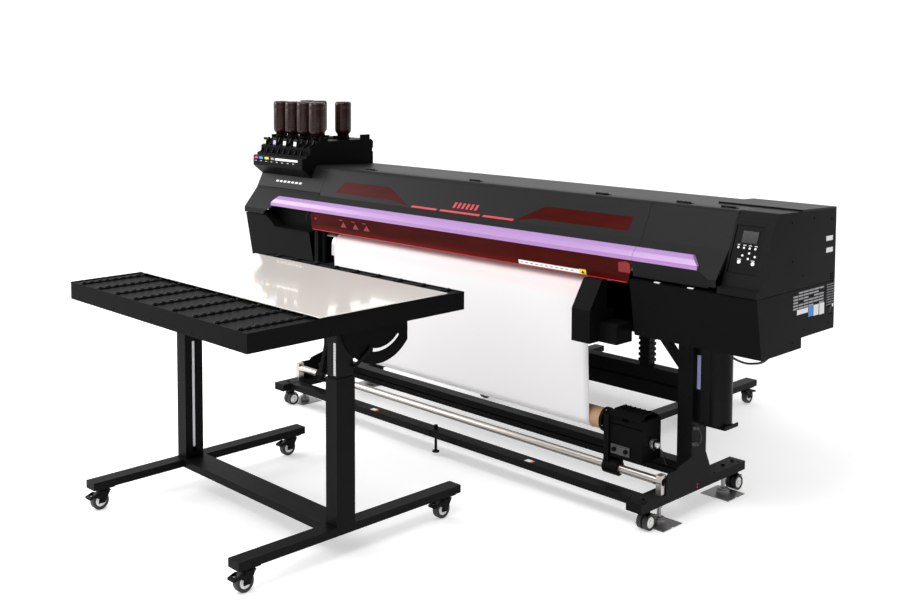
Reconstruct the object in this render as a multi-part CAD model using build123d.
from build123d import *
import math
import os

os.makedirs("parts", exist_ok=True)

# Wide roll-to-roll printer and cutter on a stand, with one free-standing roller table in front of it
# and one behind it.  Millimetres, +Z up, X along the machine, front towards -Y.

# ---------------------------------------------------------------- overall sizes
BODY_W = 2986          # length of the covered body along X
BODY_REAR = 281        # body rear face, measured from the middle of the stand
BODY_BOTTOM = 706      # underside of the front half of the body
REAR_STEP = 38         # the rear half of the body is this much higher
TOP_REAR_Z = 1196      # rear edge of the top cover
SKIN = 3               # sheet metal and moulded cover thickness
GAP = 1.5              # visual seam between two covers
FIT = 0.06             # radial running clearance of pins and journals

# shared points of the cover section, as (Y, Z)
HINGE_EDGE = (-98, 1209.5)
TOP_EDGE = (-140, 1211)
CREASE = (-208, 1071)
LIP = (-290, 974)
PANEL_TOP = (-161, 1186)
PANEL_LOW = (-255, 956)

EDGE_R = 26            # soft radius where the top turns into the front slope

RAISED_DEPTH = 253     # the raised right end of the rear top, from the rear wall forwards

# seams along X
SEAM_LEFT = -966
SEAM_RIGHT = 970
SEAM_PANEL = 1340

# ---------------------------------------------------------------- stand
STAND_X = 1075         # middle of each foot
FOOT_W = 70
FOOT_H = 35
FOOT_Z = 85            # underside of the foot beams
FOOT_FRONT = -385
FOOT_REAR = 330
POST_W = 60
POST_FRONT = -63
POST_REAR = 37
GUSSET_T = 6
PAD = 125
PAD_T = 3
PAD_Y = 223
TUBE_R = 17
TUBE_Y = -238
TUBE_Z = 170
CASTER_Y = 307
TWIN_R = 30
TWIN_W = 19
TWIN_PITCH = 26
TWIN_AXIS_Z = 31

# ---------------------------------------------------------------- media path
PLATEN_Z = 905
PLATEN_FRONT = -248
PLATEN_REAR = 120
MEDIA_LEFT = -800
MEDIA_W = 1550
MEDIA_T = 0.5
MEDIA_LIFT = 0.8       # the web floats this far above the platen
FEED_R = 15
FEED_Y = 60
PINCH_R = 9
PINCH_COUNT = 6
PINCH_AXIS_Y = 150
PINCH_AXIS_Z = 950
RAIL_Y = 98            # front face of the guide strip
RAIL_Z = 1018
RAIL_H = 24

# ---------------------------------------------------------------- take-up
CORE_R = 42
CORE_WALL = 4
CORE_Y = -190
CORE_Z = 332
CORE_LEFT = -850
CORE_RIGHT = 800
TAKE_UP_SHAFT_R = 12

# ---------------------------------------------------------------- ink
BOTTLE_R = 43
BOTTLE_H = 178
BOTTLE_PITCH = 100
BOTTLE_Z = 1352
NECK_R = 14
INK_LEFT = -1493
INK_RIGHT = -1074
INK_TOP = 1330

# ---------------------------------------------------------------- roller tables
TABLE_W = 1166
TABLE_D = 990
TABLE_Z = 895
APRON_H = 73
FRONT_TABLE_Y = -1272  # middle of the front table top
REAR_TABLE_Y = 985     # middle of the rear table top
TABLE_FOOT_X = 480
TABLE_FOOT_W = 60
TABLE_FOOT_H = 30
TABLE_FOOT_Z = 87
TABLE_FOOT_L = 1040
COLUMN_Y = 23          # column centre from the table middle, towards the front
COLUMN_D = 84
SLEEVE_TOP = 645
PIVOT_Y = 132          # tilt pivot from the table middle, towards the rear
PIVOT_Z = 850
SLOT_R = 132
SLOT_W = 13
CLAMP_ANGLE = -111     # place of the clamp bolt on the slot circle when the top is level
SLOT_ANGLE = 66        # length of the slot round the tilt pivot
WHEEL_R = 35
WHEEL_W = 26
WHEEL_TRAIL = 18
FRAME_SHIFT = -(FRONT_TABLE_Y + REAR_TABLE_Y) / 2   # puts the origin in the middle of the overall box
ROLLER_ROWS = 9
BEADS = 15


# ================================================================ helpers
def block(x, y, z):
    size = Box(x[1] - x[0], y[1] - y[0], z[1] - z[0])
    return Pos((x[0] + x[1]) / 2, (y[0] + y[1]) / 2, (z[0] + z[1]) / 2) * size


def rod_x(y, z, r, x0, x1):
    return Pos((x0 + x1) / 2, y, z) * Rot(0, 90, 0) * Cylinder(r, x1 - x0)


def rod_y(x, z, r, y0, y1):
    return Pos(x, (y0 + y1) / 2, z) * Rot(90, 0, 0) * Cylinder(r, y1 - y0)


def rod_z(x, y, r, z0, z1):
    return Pos(x, y, (z0 + z1) / 2) * Cylinder(r, z1 - z0)


def along_x(points, x0, x1):
    """A closed (Y, Z) outline pushed along X."""
    outline = Plane.YZ.offset(x0) * Polygon(*points, align=None)
    return extrude(outline, x1 - x0, dir=(1, 0, 0))


def along_y(points, y0, y1):
    """A closed (X, Z) outline pushed along Y."""
    face = make_face(Polyline(*[(x, y0, z) for x, z in points], close=True))
    return extrude(face, y1 - y0, dir=(0, 1, 0))


def along_z(points, z0, z1):
    outline = Plane.XY.offset(z0) * Polygon(*points, align=None)
    return extrude(outline, z1 - z0, dir=(0, 0, 1))


def inset(points, t):
    """The same open line, t further to its left-hand side, with mitred corners."""
    normals = []
    for a, b in zip(points, points[1:]):
        d = math.dist(a, b)
        normals.append(((a[1] - b[1]) / d, (b[0] - a[0]) / d))
    moved = []
    for i, p in enumerate(points):
        n = normals[max(i - 1, 0)]
        m = normals[min(i, len(normals) - 1)]
        k = t / (1 + n[0] * m[0] + n[1] * m[1])
        moved.append((p[0] + (n[0] + m[0]) * k, p[1] + (n[1] + m[1]) * k))
    return moved


def rounded(a, b, c, r, steps=5):
    """Points of an arc of radius r that replaces the corner b of the line a-b-c, all (Y, Z)."""
    u = ((a[0] - b[0]) / math.dist(a, b), (a[1] - b[1]) / math.dist(a, b))
    v = ((c[0] - b[0]) / math.dist(c, b), (c[1] - b[1]) / math.dist(c, b))
    half = math.acos(u[0] * v[0] + u[1] * v[1]) / 2
    w = math.hypot(u[0] + v[0], u[1] + v[1])
    mid = (b[0] + (u[0] + v[0]) / w * r / math.sin(half), b[1] + (u[1] + v[1]) / w * r / math.sin(half))
    p = (b[0] + u[0] * r / math.tan(half), b[1] + u[1] * r / math.tan(half))
    q = (b[0] + v[0] * r / math.tan(half), b[1] + v[1] * r / math.tan(half))
    start = math.atan2(p[1] - mid[1], p[0] - mid[0])
    turn = (math.atan2(q[1] - mid[1], q[0] - mid[0]) - start + math.pi) % (2 * math.pi) - math.pi
    return [(mid[0] + r * math.cos(start + turn * i / steps), mid[1] + r * math.sin(start + turn * i / steps))
            for i in range(steps + 1)]


def bent_sheet(points, x0, x1, t=SKIN):
    """Sheet of thickness t whose outside follows the open (Y, Z) line."""
    return along_x(points + inset(points, t)[::-1], x0, x1)


def between(a, b, t):
    return (a[0] + (b[0] - a[0]) * t, a[1] + (b[1] - a[1]) * t)


def at_height(a, b, z):
    """Point at height z on the straight line from a to b, both (Y, Z)."""
    return between(a, b, (z - a[1]) / (b[1] - a[1]))


def mirror_x(shape):
    return mirror(shape, about=Plane.YZ)


def both_sides(shape):
    return shape + mirror_x(shape)


def save(name, *shapes):
    solids = []
    for shape in shapes:
        solids.extend(shape.solids())
    node = Compound(children=[s.moved(Location((0, FRAME_SHIFT, 0))) for s in solids])
    node.label = name
    export_step(node, f"parts/{name}.step")
    print(f"{name}: {len(solids)} solids, {sum(s.volume for s in solids) / 1000:.0f} cm3")


def cord(name, points, r):
    """Round cable through the corner points, its corners rounded as far as the runs allow."""
    runs = [math.dist(a, b) for a, b in zip(points, points[1:])]
    radii = []
    for i in range(1, len(points) - 1):
        u = Vector(*points[i]) - Vector(*points[i - 1])
        v = Vector(*points[i + 1]) - Vector(*points[i])
        half = math.radians(u.get_angle(v)) / 2
        radii.append(0.45 * min(runs[i - 1], runs[i]) / math.tan(half))
    path = FilletPolyline(*points, radius=radii)
    tube = sweep(Plane(origin=path @ 0, z_dir=path % 0) * Circle(r), path)
    exact = math.pi * r * r * path.length
    print(f"{name}: radii {[round(q) for q in radii]} length {path.length:.0f}"
          f" volume ratio {tube.volume / exact:.4f}")
    return tube


# ================================================================ stand
def stand_feet():
    x0 = STAND_X - FOOT_W / 2
    x1 = STAND_X + FOOT_W / 2
    beam = block((x0, x1), (FOOT_FRONT, FOOT_REAR), (FOOT_Z, FOOT_Z + FOOT_H))
    beam -= block((x0 + 4, x1 - 4), (FOOT_FRONT - 1, FOOT_FRONT + 30), (FOOT_Z + 4, FOOT_Z + FOOT_H - 4))
    beam += block((x0 + 4, x1 - 4), (FOOT_FRONT + 2, FOOT_FRONT + 5), (FOOT_Z + 4, FOOT_Z + FOOT_H - 4))
    for y in (FOOT_FRONT + 60, FOOT_REAR - 40, FOOT_REAR - 110):
        beam += rod_z(STAND_X, y, 7, FOOT_Z + FOOT_H, FOOT_Z + FOOT_H + 5)
    return both_sides(beam)


def stand_posts():
    out = STAND_X + FOOT_W / 2
    top = FOOT_Z + FOOT_H
    plate = [(-228, top), (-228, 184), (-214, 196), (-160, 196), (-150, 208), (POST_FRONT, 228)]
    plate += [(POST_REAR, 228), (POST_REAR + 38, 150), (POST_REAR + 38, top)]
    gusset = along_x(plate, out - GUSSET_T, out)
    post = block((out - GUSSET_T - POST_W, out - GUSSET_T), (POST_FRONT, POST_REAR), (top, BODY_BOTTOM))
    side = block((out - GUSSET_T, out), (POST_FRONT, POST_REAR), (228, BODY_BOTTOM))
    foot_plate = block((STAND_X - 33, out - GUSSET_T), (POST_FRONT - 30, POST_REAR + 30), (top, top + 5))
    return both_sides(post + gusset + side + foot_plate)


def tank_bracket():
    """Hanger on the outside of the right post: back plate, level window strip and bottom tray."""
    out = STAND_X + FOOT_W / 2
    back = block((out, out + 20), (-34, 34), (356, 690))
    tray = block((out + 20, out + 132), (-46, 46), (356, 361))
    lip = block((out + 128, out + 132), (-46, 46), (361, 371))
    strip = block((out + 2, out + 18), (-37, -34), (470, 655))
    return back + tray + lip + strip


def front_beam():
    inner = STAND_X - FOOT_W / 2
    beam = block((-inner, inner), (-338, -275), (88, 118))
    joint = block((-60, 110), (-339.5, -338), (92, 114))
    bolts = [rod_y(x, z, 4, -343, -339.5) for x in (-40, 90) for z in (97, 109)]
    jack = rod_z(-35, -306, 6, 20, 88)
    foot = rod_z(-35, -306, 16, 14, 20)
    knob = rod_z(-35, -306, 9, 118, 136)
    beam = beam + joint + jack + foot + knob
    for bolt in bolts:
        beam += bolt
    return beam


def cross_beams():
    """Lower and rear beams that tie the two posts, each with a groove along its face."""
    inner = STAND_X + FOOT_W / 2 - GUSSET_T - POST_W
    low = block((-inner, inner), (-43, 17), (125, 185))
    low -= block((-inner - 1, inner + 1), (-44, -36), (149, 157))
    rear = block((-inner - 66, inner + 66), (POST_REAR, POST_REAR + 60), (392, 508))
    rear -= block((-inner - 67, inner + 67), (POST_REAR - 1, POST_REAR + 8), (448, 458))
    end = block((inner, inner + 66), (POST_REAR, POST_REAR + 8), (448, 458))
    brace = along_y([(inner, 520), (inner, 560), (inner - 130, BODY_BOTTOM), (inner - 170, BODY_BOTTOM)], -20, 10)
    chain = block((inner - 250, inner - 205), (40, 80), (508, BODY_BOTTOM + 5))
    for z in range(525, 700, 22):
        chain += block((inner - 254, inner - 201), (36, 84), (z, z + 12))
    return low, rear + both_sides(end), both_sides(brace), chain


def take_up_rail():
    end = STAND_X + FOOT_W / 2 - GUSSET_T
    tube = rod_x(TUBE_Y, TUBE_Z, TUBE_R, -end, end) - rod_x(TUBE_Y, TUBE_Z, TUBE_R - 2.5, -end, end)
    base = FOOT_Z + FOOT_H
    shoe = block((end - 24, end), (TUBE_Y - 16, TUBE_Y + 16), (base, TUBE_Z + 26))
    shoe -= rod_x(TUBE_Y, TUBE_Z, TUBE_R, end - 25, end + 1)
    return tube, both_sides(shoe)


def levelling_feet():
    feet = []
    for x in (-STAND_X, STAND_X):
        for y in (-PAD_Y, PAD_Y):
            plate = block((x - PAD / 2, x + PAD / 2), (y - PAD / 2, y + PAD / 2), (0, PAD_T))
            plate -= rod_y(x + PAD / 2, PAD_T, 6, y - 8, y + 8)
            foot = plate + rod_z(x, y, 26, PAD_T, 22) + rod_z(x, y, 20, 22, 27)
            foot += rod_z(x, y, 8, 27, FOOT_Z)
            foot += Pos(x, y, 64) * extrude(RegularPolygon(15, 6), 10)
            feet.append(foot)
    return feet


def stand_caster_forks():
    """Hood and axle of each twin-wheel caster; the two wheels turn on the axle."""
    forks = []
    for x in (-STAND_X, STAND_X):
        for y in (-CASTER_Y, CASTER_Y):
            web = rod_x(y, TWIN_AXIS_Z, 26, x - 3, x + 3)
            web += block((x - 3, x + 3), (y - 12, y + 12), (TWIN_AXIS_Z, 76))
            hood = rod_x(y, TWIN_AXIS_Z, TWIN_R + 5, x - 24, x + 24)
            hood -= rod_x(y, TWIN_AXIS_Z, TWIN_R + 2, x - 25, x + 25)
            hood &= block((x - 24, x + 24), (y - 20, y + 20), (TWIN_AXIS_Z + 10, 90))
            stem = rod_z(x, y, 16, TWIN_AXIS_Z + TWIN_R + 3, FOOT_Z)
            axle = rod_x(y, TWIN_AXIS_Z, 4, x - 22.5, x + 22.5)
            forks.append(web + hood + stem + axle)
    return forks


def twin_wheels(y):
    wheels = []
    for x in (-STAND_X, STAND_X):
        for side in (-1, 1):
            mid = x + side * TWIN_PITCH / 2
            wheel = rod_x(y, TWIN_AXIS_Z, TWIN_R, mid - TWIN_W / 2, mid + TWIN_W / 2)
            wheel -= rod_x(y, TWIN_AXIS_Z, 4 + FIT, mid - TWIN_W, mid + TWIN_W)
            outer = mid + side * TWIN_W / 2
            dish = rod_x(y, TWIN_AXIS_Z, TWIN_R - 7, outer - 4, outer + 4)
            dish -= rod_x(y, TWIN_AXIS_Z, 9, outer - 4, outer + 4)
            wheels.append(wheel - dish)
    return wheels


# ================================================================ body frame
def chassis():
    """Bent floor pan, box beam for the platen and carriage rail, and the uprights on it."""
    half = BODY_W / 2 - 6
    step = POST_REAR
    high = BODY_BOTTOM + REAR_STEP
    pan = along_x([(-200, BODY_BOTTOM), (step, BODY_BOTTOM), (step, high), (BODY_REAR - 6, high),
                   (BODY_REAR - 6, high + 5), (step - 5, high + 5), (step - 5, BODY_BOTTOM + 5),
                   (-200, BODY_BOTTOM + 5)], -half, half)
    beam = block((-1400, 1400), (90, 200), (high + 5, 880))
    beam -= block((-1401, 1401), (96, 194), (high + 11, 874))
    ledge = block((SEAM_LEFT + 6, 753), (-200, -194), (BODY_BOTTOM + 5, 744))
    frame = pan + beam + ledge
    for x in (-868, 772):
        upright = block((x, x + 8), (124, 196), (880, 1000))
        upright -= rod_x(PINCH_AXIS_Y, PINCH_AXIS_Z, 6 + FIT, x - 1, x + 9)
        frame += upright
    for x in (-1400, 1392):
        frame += block((x, x + 8), (112, 196), (880, 1000))
    return frame


def media_line(lift):
    """Line over the platen and down its front edge, lift above the surface."""
    bend = 70
    line = [(PLATEN_REAR - 4, PLATEN_Z + lift)]
    for i in range(10):
        a = math.radians(10 * i)
        line.append((PLATEN_FRONT + bend - (bend + lift) * math.sin(a),
                     PLATEN_Z - bend + (bend + lift) * math.cos(a)))
    return line


def platen():
    top = media_line(0) + [(PLATEN_FRONT, 790)]
    top[0] = (PLATEN_REAR, PLATEN_Z)
    low = [(PLATEN_FRONT + 8, 790), (PLATEN_FRONT + 8, 835), (PLATEN_FRONT + 30, 870), (-176, 880)]
    plate = along_x(top + low + [(PLATEN_REAR, 880)], -880, 800)
    plate -= block((-900, MEDIA_LEFT - 22), (-260, -170), (780, 878))
    plate -= block((753, 820), (-260, -170), (780, 920))
    plate -= block((-848, 753), (FEED_Y - 18, FEED_Y + 18), (870, 910))
    plate -= rod_x(FEED_Y, PLATEN_Z - 14.6, 6 + FIT, -881, 801)
    cut_line = block((-880, 800), (-32, -28), (902, 906))
    return plate - cut_line


def feed_roller():
    z = PLATEN_Z - 14.6
    return rod_x(FEED_Y, z, FEED_R, -846, 751) + rod_x(FEED_Y, z, 6, -876, 790)


def pinch_positions():
    step = MEDIA_W / PINCH_COUNT
    return [MEDIA_LEFT + step * (i + 0.5) for i in range(PINCH_COUNT)]


PINCH_Z = PLATEN_Z + MEDIA_LIFT + MEDIA_T + 0.4 + PINCH_R


def pinch_arms():
    shaft = rod_x(PINCH_AXIS_Y, PINCH_AXIS_Z, 6, -872, 784)
    for x in pinch_positions():
        side = [(FEED_Y - 6, PINCH_Z - 5), (FEED_Y + 8, PINCH_Z - 5), (PINCH_AXIS_Y + 9, PINCH_AXIS_Z - 9),
                (PINCH_AXIS_Y + 9, PINCH_AXIS_Z + 9), (PINCH_AXIS_Y - 9, PINCH_AXIS_Z + 9), (FEED_Y - 6, PINCH_Z + 6)]
        arm = along_x(side, x - 42, x - 36) + along_x(side, x + 36, x + 42)
        arm += block((x - 42, x + 42), (PINCH_AXIS_Y - 26, PINCH_AXIS_Y - 10), (PINCH_AXIS_Z - 12, PINCH_AXIS_Z - 6))
        arm -= rod_x(FEED_Y, PINCH_Z, 3 + FIT, x - 50, x + 50)
        shaft += arm
    return shaft


def pinch_rollers():
    rollers = []
    for x in pinch_positions():
        roller = rod_x(FEED_Y, PINCH_Z, PINCH_R, x - 35, x + 35)
        roller += rod_x(FEED_Y, PINCH_Z, 3, x - 42, x + 42)
        rollers.append(roller)
    return rollers


def carriage_rail():
    beam = block((-1400, 1400), (RAIL_Y + 12, 190), (1000, 1060))
    beam -= block((-1401, 1401), (RAIL_Y + 20, 182), (1008, 1052))
    return beam + block((-1395, 1395), (RAIL_Y, RAIL_Y + 12), (RAIL_Z, RAIL_Z + RAIL_H))


def rail_shoe(x0, x1):
    """Bearing block that wraps the guide strip with a running fit."""
    shoe = block((x0, x1), (RAIL_Y - 30, RAIL_Y + 11), (1003, 1057))
    slot = (RAIL_Z - FIT, RAIL_Z + RAIL_H + FIT)
    return shoe - block((x0 - 1, x1 + 1), (RAIL_Y - FIT, RAIL_Y + 20), slot)


def print_carriage():
    """Carriage at its park place on the right, with heads below and a curing lamp on each side."""
    x0, x1 = 1012, 1262
    body = block((x0, x1), (-110, 30), (935, 1105))
    body += block((x0 + 8, x1 - 8), (-110, 44), (985, 1080))
    body += rail_shoe(x0 + 10, x1 - 10) + block((x0 + 20, x1 - 20), (44, 70), (1000, 1060))
    for i in range(4):
        x = x0 + 40 + 57 * i
        body += block((x - 19, x + 19), (-92, 12), (909, 935))
    lamp_l = block((x0 - 46, x0), (-80, 10), (912, 1030))
    lamp_r = block((x1, x1 + 46), (-80, 10), (912, 1030))
    slots = [block((x0 - 47, x1 + 47), (-70 + 12 * i, -65 + 12 * i), (960, 1010)) for i in range(6)]
    body = body + lamp_l + lamp_r
    for slot in slots:
        body -= slot & (lamp_l + lamp_r)
    return body


CUT_X = -1040


def cutter_carriage():
    body = block((CUT_X - 40, CUT_X + 40), (-60, 40), (950, 1060))
    body += rail_shoe(CUT_X - 38, CUT_X + 38) + block((CUT_X - 30, CUT_X + 30), (38, 70), (1003, 1057))
    body -= rod_z(CUT_X, -30, 14, 940, 1070)
    return body


def cutter_holder():
    tool = rod_z(CUT_X, -30, 14 - FIT, 935, 1075) + rod_z(CUT_X, -30, 9, 921, 935)
    tip = Pos(CUT_X, -30, 918.5) * Cone(1, 4, 5)
    cap = rod_z(CUT_X, -30, 19, 1075, 1083)
    return tool + tip + cap


# ================================================================ covers
REAR_TOP = (BODY_REAR, TOP_REAR_Z)
TOP_ROUND = rounded(REAR_TOP, TOP_EDGE, CREASE, EDGE_R)
PANEL_ROUND = rounded(REAR_TOP, (-127, 1211), PANEL_TOP, 22) + rounded((-127, 1211), PANEL_TOP, PANEL_LOW, 22)


def side_plate(x0, x1, front):
    """End panel: the full outline of the body, with the rear step in its underside."""
    line = [(-239, BODY_BOTTOM), (POST_REAR, BODY_BOTTOM), (POST_REAR, BODY_BOTTOM + REAR_STEP),
            (BODY_REAR, BODY_BOTTOM + REAR_STEP), REAR_TOP]
    return along_x(line + front, x0, x1)


LEFT_FRONT = TOP_ROUND + [CREASE, LIP, (-290, 948), (-281, 942)]
RIGHT_FRONT = PANEL_ROUND + [PANEL_LOW, (-284, 950), (-284, 928), (-279, 924)]


STRIPE_TOP = at_height(CREASE, LIP, 1044)
STRIPE_LOW = at_height(CREASE, LIP, 996)
FLAP_LOW = (-263, 936)


POCKET = [(SEAM_LEFT - 6, 994), (-1268, 994), (-1330, 955), (-1248, 886), (SEAM_LEFT - 6, 886)]


def left_upper_cover():
    left = -BODY_W / 2
    line = [(BODY_REAR - SKIN, TOP_REAR_Z)] + TOP_ROUND + [CREASE, LIP, (-290, 948), (-262, 948)]
    shell = bent_sheet(line, left + SKIN, SEAM_LEFT - GAP)
    fold = bent_sheet([at_height(TOP_EDGE, CREASE, 1082), (-208.5, 1078), (-209.5, 1071)], left + SKIN, SEAM_LEFT - GAP, 2)
    end = side_plate(left, left + SKIN, LEFT_FRONT) & block((left - 1, left + 9), (-400, 400), (945, 1300))
    return shell + fold + end - along_y(POCKET, -320, -200)


def lower_cover(side):
    """Front apron and the lower part of the end panel; the left one holds the pocket under the stripe."""
    x_end = BODY_W / 2
    foot = [(-239, BODY_BOTTOM), (-200, BODY_BOTTOM)]
    if side < 0:
        plate = side_plate(-x_end, -x_end + SKIN, LEFT_FRONT) & block((-x_end - 1, 0), (-400, 400), (700, 943))
        front = bent_sheet([(-262, 943), (-281, 942)] + foot, -x_end + SKIN, SEAM_LEFT - 6)
    else:
        plate = side_plate(x_end - SKIN, x_end, RIGHT_FRONT) & block((0, x_end + 1), (-400, 400), (700, 924))
        plate -= block((x_end - 5, x_end + 1), (236, 262), (800, 835))
        return plate + bent_sheet([(-240, 924.5), (-278, 924)] + foot, SEAM_RIGHT - 6, x_end - SKIN)
    front -= along_y(POCKET, -320, -200)
    tray = along_y(POCKET, -276, -212)
    inner = [(x + 4 if x < -1100 else x, z + (4 if z < 900 else 0)) for x, z in POCKET]
    return plate + front + tray - along_y(inner, -280, -216)


def stripe(x0, x1):
    """Bright strip with bevelled edges on the lower slope of the covers."""
    n = (-0.764, 0.646)
    d = ((STRIPE_LOW[0] - STRIPE_TOP[0]) / 61.6, (STRIPE_LOW[1] - STRIPE_TOP[1]) / 61.6)
    hi = (STRIPE_TOP[0] + 10 * n[0] + 7 * d[0], STRIPE_TOP[1] + 10 * n[1] + 7 * d[1])
    lo = (STRIPE_LOW[0] + 10 * n[0] - 12 * d[0], STRIPE_LOW[1] + 10 * n[1] - 12 * d[1])
    mid = (between(hi, lo, 0.5)[0] + 3 * n[0], between(hi, lo, 0.5)[1] + 3 * n[1])
    return along_x([STRIPE_TOP, hi, mid, lo, STRIPE_LOW], x0, x1)


def trim_corner(shape, x, side):
    """Rounds the outer top corner of a stripe end."""
    r = 36
    corner = along_y([(x, 1060), (x - side * r, 1060), (x - side * r, 1046), (x, 1012)], -330, -200)
    return shape - corner


def top_rear_cover():
    half = BODY_W / 2 - SKIN
    top = bent_sheet([REAR_TOP, HINGE_EDGE], SEAM_LEFT, SEAM_PANEL - GAP)
    for x in HINGES:
        top += pin(x - 30, x + 30)
        for x0 in (x - 30, x + 10):
            top += knuckle(x0, x0 + 20) + leaf(x0, x0 + 20, 1)
    on_top = between(REAR_TOP, HINGE_EDGE, RAISED_DEPTH / (BODY_REAR - HINGE_EDGE[0]))
    on_end = between(REAR_TOP, PANEL_ROUND[0], RAISED_DEPTH / (BODY_REAR - PANEL_ROUND[0][0]))
    upper = [(on_top[0], on_top[1] + 7), (BODY_REAR, TOP_REAR_Z + 7)]
    top += along_x([(BODY_REAR, TOP_REAR_Z - 1), (on_top[0], on_top[1] - 1)] + upper, 1150, SEAM_PANEL - GAP)
    top += along_x([REAR_TOP, on_end] + upper, SEAM_PANEL - GAP, half + SKIN)
    rear = block((-half, half), (BODY_REAR - SKIN, BODY_REAR), (960, TOP_REAR_Z - 3.5))
    rear += block((-half, half), (BODY_REAR - SKIN, BODY_REAR), (750, 880))
    rear += block((-half, -900), (BODY_REAR - SKIN, BODY_REAR), (880, 960))
    rear += block((820, half), (BODY_REAR - SKIN, BODY_REAR), (880, 960))
    for x in range(-1200, 1201, 240):
        rear += block((x, x + 90), (BODY_REAR, BODY_REAR + 4), (1080, 1084))
    return top, rear


HINGES = (-700, 0, 700, 1080, 1270)
HINGE_Y = -100
HINGE_Z = 1213.5


def knuckle(x0, x1):
    return rod_x(HINGE_Y, HINGE_Z, 4, x0, x1)


def pin(x0, x1):
    return rod_x(HINGE_Y, HINGE_Z, 2, x0, x1)


def leaf(x0, x1, side):
    """Hinge leaf lying on the cover beside the pin; side 1 is the fixed rear one."""
    y = (HINGE_Y, HINGE_Y + 20) if side > 0 else (HINGE_Y - 20, HINGE_Y)
    z = (1208.5, 1211.8)
    return block((x0, x1), y, z)


def cover_shell(x0, x1, hinges, low):
    """Lifting cover from its hinge down to the given points below the crease."""
    line = [(HINGE_EDGE[0] - 4, HINGE_EDGE[1])] + TOP_ROUND + [CREASE] + low
    shell = bent_sheet(line, x0, x1)
    rib = along_x(TOP_ROUND + [CREASE, STRIPE_LOW, inset([CREASE, STRIPE_LOW], 14)[1],
                               inset([TOP_EDGE, CREASE, STRIPE_LOW], 14)[1], (-128, 1196)], x0, x0 + SKIN)
    shell += rib + Pos(x1 - x0 - SKIN, 0, 0) * rib
    for x in hinges:
        lug = knuckle(x - 9.5, x + 9.5) + leaf(x - 9.5, x + 9.5, -1)
        shell += lug - rod_x(HINGE_Y, HINGE_Z, 2 + FIT, x - 20, x + 20)
    return shell


UPPER_WINDOWS = [
    [(-806, 1148), (-478, 1148), (-322, 1064), (-430, 1092), (-852, 1092)],
    [(470, 1146), (908, 1146), (896, 1093), (430, 1093), (322, 1066)],
]


def front_cover():
    shell = cover_shell(SEAM_LEFT, SEAM_RIGHT - GAP, [-700, 0, 700], [STRIPE_LOW])
    for outline in UPPER_WINDOWS:
        hole = [(x, max(z, 1075)) for x, z in outline]
        shell -= along_y(hole, -240, -150)
    return shell


def right_cover():
    """Cover of the carriage park: the lip ends the slope on the right and a flap hangs below the stripe."""
    shell = cover_shell(SEAM_RIGHT, SEAM_PANEL - GAP, [1080, 1270], [LIP, (-290, 948), (-262, 948)])
    under = [(SEAM_RIGHT - 9, 996), (1255, 996), (1306, 974), (1306, 940), (SEAM_RIGHT - 9, 940)]
    shell -= along_y(under, -320, -200)
    flap = bent_sheet([STRIPE_LOW, FLAP_LOW], SEAM_RIGHT, 1320)
    flap &= along_y([(SEAM_RIGHT, 1000), (1254, 1000), (1305, 974), (1292, FLAP_LOW[1]), (SEAM_RIGHT, FLAP_LOW[1])],
                    -320, -200)
    return shell + flap


def window_pane(outline):
    slab = bent_sheet([at_height(TOP_EDGE, CREASE, 1160), at_height(TOP_EDGE, CREASE, 1073)], -960, 960)
    hole = [(x, max(z, 1075)) for x, z in outline]
    return slab & along_y(hole, -240, -150)


def lower_window():
    """Tinted guard below the stripe, slanted at both ends, with a curved lower edge."""
    low = inset([CREASE, STRIPE_LOW], SKIN)
    line = [between(low[1], low[0], 0.2), low[1], (-262, 930), (-256, 908)]
    x0, x1 = SEAM_LEFT + SKIN + 1, SEAM_RIGHT - GAP - SKIN - 1
    pane = bent_sheet(line, x0, x1)
    end = along_y([(x1 + 1, 985), (x1 + 1, 900), (x1 - 22, 900)], -320, -200)
    return pane - end


def right_end_cover():
    x_end = BODY_W / 2
    line = [(BODY_REAR - SKIN, TOP_REAR_Z)] + PANEL_ROUND + [PANEL_LOW, (-284, 950), (-284, 928), (-262, 928)]
    shell = bent_sheet(line, SEAM_PANEL, x_end - SKIN)
    end = side_plate(x_end - SKIN, x_end, RIGHT_FRONT) & block((0, x_end + 1), (-400, 400), (926, 1300))
    shell -= along_y([(1349, 999), (1461, 999), (1461, 1163), (1349, 1163)], -270, -140)
    vents = [block((x_end - 5, x_end + 1), (242, 268), (z, z + 4)) for z in range(870, 960, 9)]
    for cut in vents:
        end -= cut
    return shell + end


def operation_panel():
    """Membrane panel with a raised screen frame and keys, sunk in the front slope."""
    face = inset([PANEL_TOP, PANEL_LOW], 3.2)
    hi = at_height(face[0], face[1], 1162)
    lo = at_height(face[0], face[1], 1000)
    panel = bent_sheet([hi, lo], 1349.5, 1460.5, 8)
    u = ((lo[0] - hi[0]) / math.dist(hi, lo), (lo[1] - hi[1]) / math.dist(hi, lo))
    n = (u[1], -u[0])
    for x, d, r in KEYS:
        where = (x, hi[0] + u[0] * d + n[0] * 0.6, hi[1] + u[1] * d + n[1] * 0.6)
        panel += Plane(origin=where, z_dir=(0, n[0], n[1])) * Cylinder(r, 2.4)
    screen = bent_sheet([(hi[0] + u[0] * 14 + n[0] * 1, hi[1] + u[1] * 14 + n[1] * 1),
                         (hi[0] + u[0] * 66 + n[0] * 1, hi[1] + u[1] * 66 + n[1] * 1)], 1372, 1444, 3)
    return panel + screen


KEYS = [(1372, 80, 4), (1394, 80, 4), (1416, 80, 4), (1438, 80, 4), (1418, 98, 4), (1394, 108, 4),
        (1442, 108, 4), (1418, 118, 4), (1386, 132, 7), (1440, 134, 7)]


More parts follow.
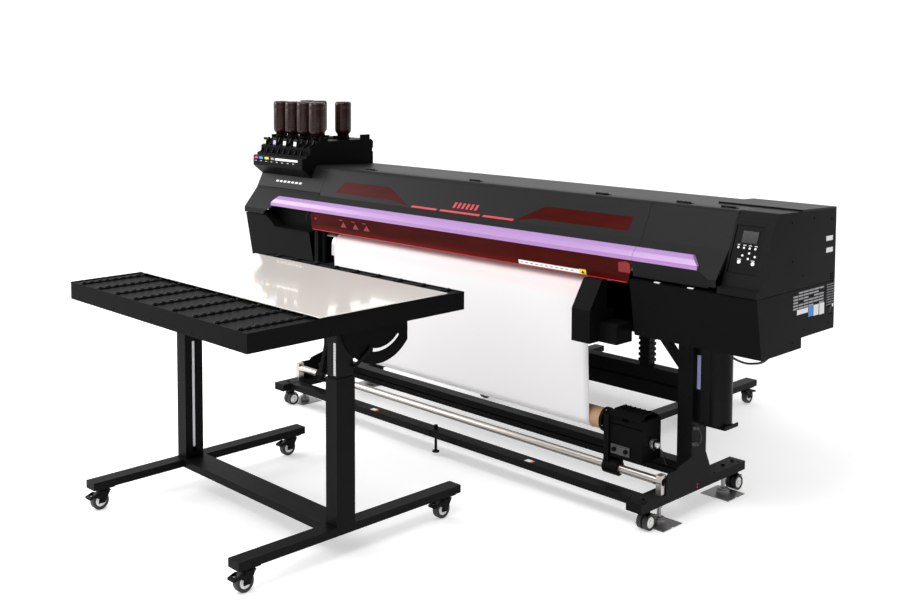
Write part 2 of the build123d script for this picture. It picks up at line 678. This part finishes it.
def guard_boxes():
    tall = along_x([(-252, 904), (-286, 904), (-358, 795), (-358, 668), (-200, 668), (-200, 780), (-252, 780)],
                   756, 843)
    tall -= along_x([(-258, 898), (-283, 898), (-352, 793), (-352, 674), (-206, 674), (-206, 774), (-258, 774)],
                    762, 837)
    low = along_x([(-300, 668), (-300, 734), (-288, 744), (-200, 744), (-200, 668)], 843, 925)
    low -= along_x([(-294, 674), (-294, 732), (-286, 738), (-206, 738), (-206, 674)], 849, 919)
    guide = block((-938, -912), (-262, -200), (744, 903)) + rod_z(-897, -232, 12, 744, 900)
    guide += block((-938, -884), (-262, -200), (738, 744))
    return tall, low, guide


# ================================================================ ink supply
def bottle_places():
    mid = (INK_LEFT + INK_RIGHT) / 2 - 4
    front = [(mid + (i - 1.5) * BOTTLE_PITCH, -82) for i in range(4)]
    rear = [(mid + (i - 1.5) * BOTTLE_PITCH, 96) for i in (0, 1, 3)]
    return front + rear


def ink_station():
    """Stepped tray that overhangs the cover, with a socket and a latch bracket for each bottle."""
    line = [(252, 1198), (252, 1318), (236, INK_TOP), (-128, INK_TOP), (-140, 1306), (-178, 1296), (-178, 1268),
            (-204, 1258), (-206, 1236), (-230, 1228), (-230, 1192), (-172.5, 1146), (-141.5, 1212.6)]
    tray = along_x(line, INK_LEFT, INK_RIGHT)
    tray -= along_x([(246, 1204), (246, 1314), (232, 1324), (-124, 1324), (-136, 1300), (-172, 1290), (-172, 1262),
                     (-198, 1252), (-200, 1232), (-224, 1222), (-224, 1196), (-176, 1160), (-146, 1219)],
                    INK_LEFT + 6, INK_RIGHT - 6)
    tray -= block((INK_LEFT - 1, INK_RIGHT + 1), (246, 253), (1262, 1280))
    spare = ((INK_LEFT + INK_RIGHT) / 2 - 4 + 0.5 * BOTTLE_PITCH, 96)
    tray += rod_z(*spare, 20, INK_TOP, INK_TOP + 8)
    for x, y in bottle_places():
        tray -= rod_z(x, y, NECK_R + 0.5, INK_TOP - 10, INK_TOP + 1)
    for x, y in bottle_places() + [spare]:
        tray += block((x - 38, x - 30), (y - 12, y + 12), (INK_TOP, INK_TOP + 16))
        tray += block((x + 30, x + 38), (y - 12, y + 12), (INK_TOP, INK_TOP + 16))
        tray += block((x - 8, x + 8), (y - 34, y - 28), (INK_TOP, INK_TOP + 16))
    for x in (INK_LEFT + 2, INK_RIGHT - 14):
        tray += block((x, x + 12), (-110, -60), (INK_TOP, INK_TOP + 20))
        tray += block((x, x + 12), (170, 230), (INK_TOP, INK_TOP + 24))
    return tray


def ink_bottles():
    """Inverted bottles: round body, shoulder and a neck that enters its socket."""
    bottles = []
    for x, y in bottle_places():
        body = rod_z(x, y, BOTTLE_R, BOTTLE_Z + 14, BOTTLE_Z + BOTTLE_H)
        body = fillet(body.edges().sort_by(Axis.Z)[-1], 9)
        shoulder = Pos(x, y, BOTTLE_Z + 7) * Cone(22, BOTTLE_R, 14)
        neck = rod_z(x, y, NECK_R, INK_TOP - 8, BOTTLE_Z + 1) + rod_z(x, y, 22, BOTTLE_Z - 12, BOTTLE_Z + 1)
        bottles.append(body + shoulder + neck)
    return bottles


# ================================================================ take-up, waste tank and switch
def take_up_motor():
    box = block((842, 1015), (-252, -130), (218, 378))
    box -= block((841, 1016), (-253, -247), (344, 350))
    lid = rod_x(-165, 352, 32, 850, 1005) & block((850, 1005), (-198, -130), (352, 390))
    strap = block((842, 864), (-260, -252), (190, 380))
    clamp = rod_x(TUBE_Y, TUBE_Z, TUBE_R + 12, 838, 905) - rod_x(TUBE_Y, TUBE_Z, TUBE_R, 837, 906)
    neck = block((845, 900), (-232, -210), (184, 218)) - rod_x(TUBE_Y, TUBE_Z, TUBE_R + 6, 837, 906)
    plate = block((872, 962), (-255, -252), (228, 270))
    switches = rod_y(890, 249, 7, -262, -255) + rod_y(944, 249, 7, -262, -255)
    knob = rod_x(-190, 285, 19, 1015, 1036) + rod_x(-190, 285, 12, 1036, 1046)
    shaft = rod_x(CORE_Y, CORE_Z, TAKE_UP_SHAFT_R, 800, 842)
    return [box + lid + strap + clamp + neck + plate + switches + knob + shaft]


def take_up_core():
    tube = rod_x(CORE_Y, CORE_Z, CORE_R, CORE_LEFT, CORE_RIGHT)
    return tube - rod_x(CORE_Y, CORE_Z, CORE_R - CORE_WALL, CORE_LEFT - 1, CORE_RIGHT + 1)


def core_plugs():
    """Flanged plugs pressed into both ends of the core; the shafts run in their bores."""
    plug = rod_x(CORE_Y, CORE_Z, CORE_R - CORE_WALL, CORE_RIGHT - 40, CORE_RIGHT)
    plug += rod_x(CORE_Y, CORE_Z, CORE_R + 7, CORE_RIGHT, CORE_RIGHT + 12)
    plug += rod_x(CORE_Y, CORE_Z, 30, CORE_RIGHT + 12, CORE_RIGHT + 30)
    plug -= rod_x(CORE_Y, CORE_Z, TAKE_UP_SHAFT_R + FIT, CORE_RIGHT - 41, CORE_RIGHT + 31)
    for i in range(4):
        a = math.radians(45 + 90 * i)
        plug -= rod_x(CORE_Y + 38 * math.cos(a), CORE_Z + 38 * math.sin(a), 5, CORE_RIGHT + 1, CORE_RIGHT + 13)
    other = Pos(CORE_LEFT + CORE_RIGHT, 0, 0) * mirror_x(plug)
    return plug, other


def take_up_holder():
    """Left carrier of the core: it slides along the rail and is clamped with a knob."""
    x0, x1 = CORE_LEFT - 62, CORE_LEFT - 38
    arm = along_x([(CORE_Y - 26, CORE_Z + 26), (TUBE_Y - 26, TUBE_Z + 10), (TUBE_Y - 26, TUBE_Z - 6),
                   (TUBE_Y + 26, TUBE_Z - 6), (CORE_Y + 26, CORE_Z + 26)], x0, x1)
    arm += rod_x(TUBE_Y, TUBE_Z, TUBE_R + 12, x0 - 20, x1 + 12)
    arm -= rod_x(TUBE_Y, TUBE_Z, TUBE_R + FIT, x0 - 30, x1 + 20)
    arm += rod_x(CORE_Y, CORE_Z, TAKE_UP_SHAFT_R, x1, CORE_LEFT - 8)
    arm += rod_z(x0 - 6, TUBE_Y, 5, TUBE_Z + TUBE_R + 8, TUBE_Z + 48) + rod_z(x0 - 6, TUBE_Y, 14, TUBE_Z + 44, TUBE_Z + 58)
    return arm


def media_sheet():
    """The printed web: over the platen, down to the take-up core and round it."""
    lift = MEDIA_LIFT
    line = media_line(lift)
    hang = CORE_Y - CORE_R - 0.9
    line = line[:-1] + [(PLATEN_FRONT - lift, PLATEN_Z - 70), (PLATEN_FRONT - lift, 780), (hang - 0.3, CORE_Z + 40)]
    for i in range(0, 16):
        a = math.radians(180 + 14 * i)
        line.append((CORE_Y + (CORE_R + 0.9) * math.cos(a), CORE_Z + (CORE_R + 0.9) * math.sin(a)))
    outer = inset(line, -MEDIA_T)
    return along_x(line + outer[::-1], MEDIA_LEFT, MEDIA_LEFT + MEDIA_W)


TANK_X = 1190


def waste_tank():
    x0 = STAND_X + FOOT_W / 2 + 20.5
    body = rod_z(TANK_X, 0, 46, 361.5, 676) & block((x0, TANK_X + 60), (-60, 60), (300, 700))
    body += block((x0, TANK_X), (-42, 42), (361.5, 676))
    body -= block((x0 - 1, x0 + 0.6), (-8, 8), (440, 640))
    for z in (470, 560):
        ring = rod_z(TANK_X, 0, 47, z, z + 2) - rod_z(TANK_X, 0, 45.2, z - 1, z + 3)
        body -= ring & block((TANK_X, TANK_X + 60), (-60, 60), (300, 700))
    cap = rod_z(TANK_X, 0, 20, 676, 690)
    return body + cap


def power_switch():
    """Rocker that turns on a pin between the cheeks of its housing."""
    x = BODY_W / 2
    rocker = along_y([(x - 9, 806), (x - 9, 829), (x + 2.5, 831), (x, 817.5), (x - 0.6, 804)], 238, 260)
    return rocker - rod_y(x - 5, SWITCH_Z, 1.5 + FIT, 230, 270)


SWITCH_Z = 817.5


def switch_housing():
    x = BODY_W / 2
    housing = block((x - 14, x - SKIN), (232, 266), (796, 839))
    housing -= block((x - 12, x), (236, 262), (800, 835))
    return housing + rod_y(x - 5, SWITCH_Z, 1.5, 236, 262)


def cables():
    """Power loop under the body, take-up motor lead and the lead down the right leg."""
    bottom = BODY_BOTTOM
    loop = cord("power loop", [(1246, -60, bottom), (1246, -60, 672), (1270, -52, 642), (1322, -44, 628),
                               (1382, -36, 642), (1410, -30, 672), (1410, -30, bottom)], 4)
    motor = cord("motor lead", [(1000, -130, 240), (1000, -104, 240), (1001, -86, 216), (1002, -80, 190),
                                (1002, -66, 166), (1002, -43, 166)], 2.5)
    out = STAND_X + FOOT_W / 2
    leg = cord("leg lead", [(out, -50, 340), (out + 20, -50, 340), (out + 36, -52, 320), (out + 36, -54, 297),
                            (out + 20, -54, 278), (out, -54, 278)], 2.5)
    return loop, motor, leg


# ================================================================ roller tables
def table_feet(y_mid):
    z0, z1 = TABLE_FOOT_Z, TABLE_FOOT_Z + TABLE_FOOT_H
    start = y_mid - 483
    x0, x1 = TABLE_FOOT_X - TABLE_FOOT_W / 2, TABLE_FOOT_X + TABLE_FOOT_W / 2
    foot = block((x0, x1), (start, start + TABLE_FOOT_L), (z0, z1))
    for y in (start + 58, start + TABLE_FOOT_L - 58):
        foot += block((x0 + 2, x1 - 2), (y - 34, y + 34), (z0 - 4, z0))
        for dy in (-26, 26):
            foot += rod_z(TABLE_FOOT_X, y + dy, 4, z0 - 9, z0 - 4)
    column_y = y_mid - COLUMN_Y
    sleeve = block((x0, x1), (column_y - COLUMN_D / 2, column_y + COLUMN_D / 2), (z1, SLEEVE_TOP))
    sleeve -= block((x0 + 4, x1 - 4), (column_y - COLUMN_D / 2 + 4, column_y + COLUMN_D / 2 - 4), (z1 + 12, SLEEVE_TOP + 1))
    sleeve -= block((x0 - 1, x0 + 9), (column_y - 9, column_y + 9), (z1 + 20, SLEEVE_TOP - 40))
    bar = block((-x0, x0), (column_y - 55, column_y + 55), (z0, z1))
    bar -= block((-x0 - 1, x0 + 1), (column_y - 51, column_y + 51), (z0 - 1, z1 - 4))
    return both_sides(foot + sleeve) + bar


def table_columns(y_mid):
    """Inner columns of the height adjustment, each with the tilt bracket at its top."""
    y = y_mid - COLUMN_Y
    pivot = y_mid + PIVOT_Y
    x0, x1 = TABLE_FOOT_X - TABLE_FOOT_W / 2 + 4.4, TABLE_FOOT_X + TABLE_FOOT_W / 2 - 4.4
    half = COLUMN_D / 2 - 4.4
    column = block((x0, x1), (y - half, y + half), (300, 800))
    column -= block((x0 + 3, x1 - 3), (y - half + 3, y + half - 3), (299, 760))
    bolt_y, bolt_z = clamp_point(pivot)
    arm = along_x([(y - half, 700), (y - half, 800), (pivot - 30, 874), (pivot + 22, 866), (pivot + 22, 832),
                   (bolt_y + 16, bolt_z - 14), (bolt_y - 16, bolt_z - 18)], x1 - 8, x1)
    pin_x = rod_x(pivot, PIVOT_Z, 8, x1 - 8, x1 + 12)
    arm -= rod_x(bolt_y, bolt_z, 5 + FIT, x1 - 13, x1 + 1)
    return both_sides(column + arm + pin_x)


def clamp_point(pivot):
    a = math.radians(CLAMP_ANGLE)
    return pivot + SLOT_R * math.cos(a), PIVOT_Z + SLOT_R * math.sin(a)


QUADRANT_X = (TABLE_FOOT_X + TABLE_FOOT_W / 2 - 3.8, TABLE_FOOT_X + TABLE_FOOT_W / 2 + 1.2)


def arc_plate(y_mid):
    """Quadrant under the top with the curved slot that the clamp bolt runs in."""
    pivot = y_mid + PIVOT_Y
    x0, x1 = QUADRANT_X
    disc = rod_x(pivot, PIVOT_Z, 182, x0, x1) & block((x0, x1), (pivot - 182, pivot + 140), (600, TABLE_Z - 24))
    slot = rod_x(pivot, PIVOT_Z, SLOT_R + SLOT_W / 2, x0 - 1, x1 + 1)
    slot -= rod_x(pivot, PIVOT_Z, SLOT_R - SLOT_W / 2, x0 - 1, x1 + 1)
    start = math.radians(CLAMP_ANGLE)
    end = start + math.radians(SLOT_ANGLE)
    wedge = [(pivot, PIVOT_Z)]
    for i in range(7):
        a = start + (end - start) * i / 6
        wedge.append((pivot + 220 * math.cos(a), PIVOT_Z + 220 * math.sin(a)))
    slot &= along_x(wedge, x0 - 1, x1 + 1)
    for a in (start, end):
        slot += rod_x(pivot + SLOT_R * math.cos(a), PIVOT_Z + SLOT_R * math.sin(a), SLOT_W / 2, x0 - 1, x1 + 1)
    return disc - slot - rod_x(pivot, PIVOT_Z, 8 + FIT, x0 - 1, x1 + 1)


def table_top(y_mid):
    """Apron frame, quadrants and slats; the roller rows stand between the slats."""
    y0, y1 = y_mid - TABLE_D / 2, y_mid + TABLE_D / 2
    half = TABLE_W / 2
    z0, z1 = TABLE_Z - APRON_H, TABLE_Z - 6
    frame = block((-half, half), (y0, y1), (z0, z1)) - block((-half + 4, half - 4), (y0 + 4, y1 - 4), (z0 - 1, z1 + 1))
    frame += block((-half + 4, half - 4), (y0 + 4, y0 + 24), (z1 - 14, z1 - 10))
    frame += block((-half + 4, half - 4), (y1 - 24, y1 - 4), (z1 - 14, z1 - 10))
    pitch = TABLE_W / ROLLER_ROWS
    for i in range(ROLLER_ROWS + 1):
        lo = max(-half + 4, -half + pitch * (i - 0.5) + 13)
        hi = min(half - 4, -half + pitch * (i + 0.5) - 13)
        frame += block((lo, hi), (y0 + 4, y1 - 4), (z1 - 10, z1 - 4))
    for y in (y0 + 200, y1 - 200):
        frame += block((-half + 4, half - 4), (y - 10, y + 10), (z1 - 30, z1 - 10))
    x0, x1 = QUADRANT_X
    quadrant = arc_plate(y_mid)
    hanger = block((x0, x1 + 16), (y_mid - 305, y_mid + 305), (TABLE_Z - 34, TABLE_Z - 27))
    return frame + both_sides(quadrant + hanger)


def roller_row(x, y0, y1):
    """One shaft with its beads, turned about a line along Y."""
    z = TABLE_Z - 9.5
    row = rod_y(x, z, 4, y0, y1)
    step = (y1 - y0) / BEADS
    for i in range(BEADS):
        y = y0 + step * (i + 0.5)
        row += rod_y(x, z, 9.5, y - 9, y + 9)
    return row


def table_rollers(y_mid):
    pitch = TABLE_W / ROLLER_ROWS
    y0, y1 = y_mid - TABLE_D / 2 + 4, y_mid + TABLE_D / 2 - 4
    return [roller_row(-TABLE_W / 2 + pitch * (i + 0.5), y0, y1) for i in range(ROLLER_ROWS)]


def table_board(y_mid):
    """Rigid white board that lies on the rollers while it is fed."""
    return block((-592, 592), (y_mid - 207, y_mid + 397), (TABLE_Z + 0.1, TABLE_Z + 4))


def clamp_levers(y_mid):
    y, z = clamp_point(y_mid + PIVOT_Y)
    x1 = QUADRANT_X[1]
    lever = rod_x(y, z, 5, x1 - 24, x1 + 1) + rod_x(y, z, 11, x1 + 0.4, x1 + 9)
    lever += rod_x(y, z, 9, x1 - 24, x1 - 18)
    grip = along_x([(y - 5, z + 5), (y + 5, z - 5), (y - 66, z - 49), (y - 72, z - 40)], x1 + 2, x1 + 9)
    end = rod_x(y - 69, z - 45, 8, x1 + 1, x1 + 10)
    return both_sides(lever + grip + end)


def caster_places(y_mid):
    start = y_mid - 483
    return [start + 58, start + TABLE_FOOT_L - 58]


def swivel_fork(x, y):
    """Swivel fork with its brake pedal; the wheel trails behind the swivel axis."""
    top = TABLE_FOOT_Z - 4.4
    wy = y - WHEEL_TRAIL
    head = rod_z(x, y, 17, top - 7, top) + rod_z(x, y, 24, top - 10, top - 7)
    half = WHEEL_W / 2 + 2
    cheek = [(y - 22, top - 10), (y + 22, top - 10), (wy + 14, WHEEL_R - 8), (wy - 12, WHEEL_R - 8)]
    fork = head
    for s in (-1, 1):
        a, b = sorted((x + s * half, x + s * (half + 3)))
        fork += along_x(cheek, a, b)
    fork += block((x - half - 3, x + half + 3), (y - 22, y + 22), (top - 12, top - 9))
    fork -= block((x - half, x + half), (y - 60, y + 60), (0, top - 12))
    fork += rod_x(wy, WHEEL_R, 4, x - half - 6, x + half + 6)
    pedal = along_x([(wy + 4, 36), (wy + 4, 60), (wy - 22, 68), (wy - 52, 58), (wy - 52, 50), (wy - 24, 54)],
                    x - half - 3, x + half + 3)
    return fork + (pedal - block((x - half, x + half), (wy - 41, wy + 40), (0, 90)))


def table_wheel(x, y):
    wy = y - WHEEL_TRAIL
    wheel = rod_x(wy, WHEEL_R, WHEEL_R, x - WHEEL_W / 2, x + WHEEL_W / 2)
    wheel = fillet(wheel.edges().filter_by(GeomType.CIRCLE), 3)
    for s in (-1, 1):
        face = x + s * WHEEL_W / 2
        dish = rod_x(wy, WHEEL_R, 24, face - 4, face + 4) - rod_x(wy, WHEEL_R, 10, face - 4, face + 4)
        wheel -= dish
    return wheel - rod_x(wy, WHEEL_R, 4 + FIT, x - WHEEL_W, x + WHEEL_W)


# ================================================================ write the nodes
def write_stand():
    save("stand_legs", stand_feet(), stand_posts(), tank_bracket())
    save("stand_beams", front_beam(), *cross_beams())
    save("take_up_rail", *take_up_rail())
    save("levelling_feet", *levelling_feet())
    save("stand_caster_forks", *stand_caster_forks())
    save("stand_wheels_front", *twin_wheels(-CASTER_Y))
    save("stand_wheels_rear", *twin_wheels(CASTER_Y))


def write_body():
    save("chassis", chassis())
    save("platen", platen())
    save("carriage_rail", carriage_rail())
    save("left_upper_cover", left_upper_cover())
    save("left_lower_cover", lower_cover(-1))
    save("right_lower_cover", lower_cover(1), switch_housing())
    save("stripe_left", trim_corner(stripe(-1288, SEAM_LEFT - GAP), -1288, -1))
    save("top_rear_cover", *top_rear_cover())
    save("right_end_cover", right_end_cover())
    save("operation_panel", operation_panel())
    save("ink_station", ink_station())
    save("guard_boxes", *guard_boxes())
    save("media_sheet", media_sheet())
    save("take_up_motor", *take_up_motor())
    save("cables", *cables())


def write_moving():
    save("front_cover", front_cover())
    save("cover_windows", window_pane(UPPER_WINDOWS[0]), window_pane(UPPER_WINDOWS[1]), lower_window())
    save("stripe_main", stripe(SEAM_LEFT, SEAM_RIGHT - GAP))
    save("right_cover", right_cover())
    save("stripe_right", trim_corner(stripe(SEAM_RIGHT, 1250), 1250, 1))
    save("print_carriage", print_carriage())
    save("cutter_carriage", cutter_carriage())
    save("cutter_holder", cutter_holder())
    save("feed_roller", feed_roller())
    save("pinch_arms", pinch_arms())
    save("pinch_rollers", *pinch_rollers())
    save("take_up_core", take_up_core())
    save("core_plugs", *core_plugs())
    save("take_up_holder", take_up_holder())
    save("power_switch", power_switch())
    save("waste_tank", waste_tank())
    save("ink_bottles", *ink_bottles())


def write_front_table():
    y = FRONT_TABLE_Y
    save("table_base", table_feet(y))
    save("table_columns", table_columns(y))
    save("table_top", table_top(y))
    save("table_rollers", *table_rollers(y))
    save("table_board", table_board(y))
    save("clamp_levers", clamp_levers(y))
    for i, side in enumerate((-1, 1)):
        for j, place in enumerate(caster_places(y)):
            name = ("front", "rear")[j] + ("_left", "_right")[i]
            save(f"caster_fork_{name}", swivel_fork(side * TABLE_FOOT_X, place))
            save(f"caster_wheel_{name}", table_wheel(side * TABLE_FOOT_X, place))


def facing_back(*shapes):
    """The rear table is the front one turned round, so it is mirrored in Y about the stand."""
    return [mirror(shape, about=Plane.XZ) for shape in shapes]


def write_rear_table():
    y = -REAR_TABLE_Y
    forks = []
    for side in (-1, 1):
        for place in caster_places(y):
            forks.append(swivel_fork(side * TABLE_FOOT_X, place))
    save("rear_table_base", *facing_back(table_feet(y), *forks))
    save("rear_table_columns", *facing_back(table_columns(y)))
    save("rear_table_top", *facing_back(table_top(y)))
    save("rear_table_rollers", *facing_back(*table_rollers(y)))
    save("rear_clamp_levers", *facing_back(clamp_levers(y)))
    for j, place in enumerate(caster_places(y)):
        wheels = [table_wheel(side * TABLE_FOOT_X, place) for side in (-1, 1)]
        save("rear_table_wheels_" + ("rear", "front")[j], *facing_back(*wheels))


write_stand()
write_body()
write_moving()
write_front_table()
write_rear_table()
